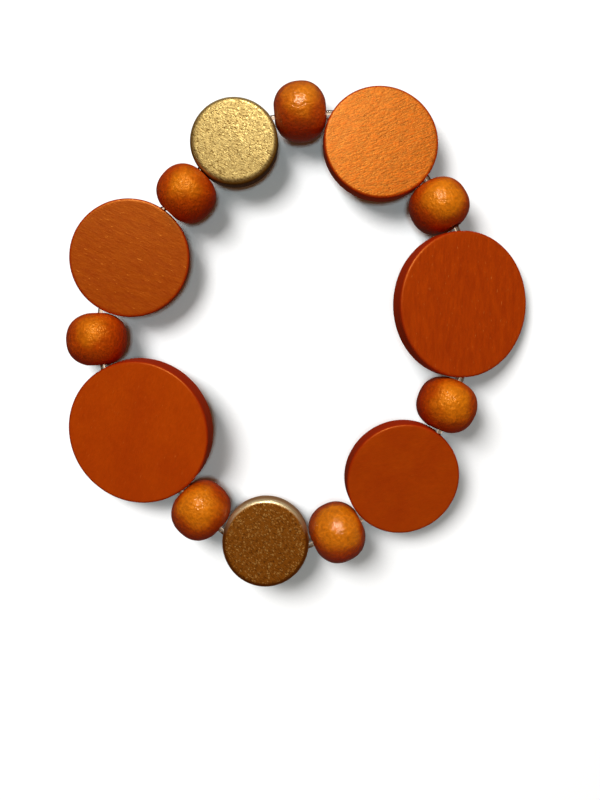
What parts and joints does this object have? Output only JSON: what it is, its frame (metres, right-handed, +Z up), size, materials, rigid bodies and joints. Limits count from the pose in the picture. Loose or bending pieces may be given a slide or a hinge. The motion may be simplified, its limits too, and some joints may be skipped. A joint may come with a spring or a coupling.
{
  "type": "wooden bead bracelet",
  "caption": "Stretch bracelet of flat and round dyed wooden beads with gold discs, strung edge to edge in a ring on a hidden elastic cord.",
  "frame": {"origin": "on the table under the middle of the ring", "axes": "+Z up from the table, +Y towards the top of the picture, along the ring's longer way, +X to its right"},
  "size_m": [0.0798, 0.0863, 0.0114],
  "materials": {
    "orange_disc": "dyed orange wood with fine grain under a satin lacquer",
    "orange_bead": "dyed orange wood, lathe turned, satin lacquer with a pearly sheen",
    "gold_paint": "wood under grainy metallic gold paint",
    "clear_elastic": "clear stretch cord"
  },
  "bodies": {
    "root": {"disc_gold_1": "gold_paint", "bead_1": "orange_bead", "disc_orange_1": "orange_disc", "bead_2": "orange_bead", "disc_orange_2": "orange_disc", "bead_3": "orange_bead", "disc_orange_3": "orange_disc", "bead_4": "orange_bead", "disc_gold_2": "gold_paint", "bead_5": "orange_bead", "disc_orange_4": "orange_disc", "bead_6": "orange_bead", "disc_orange_5": "orange_disc", "bead_7": "orange_bead", "elastic_cord": "clear_elastic"}
  },
  "joints": []
}
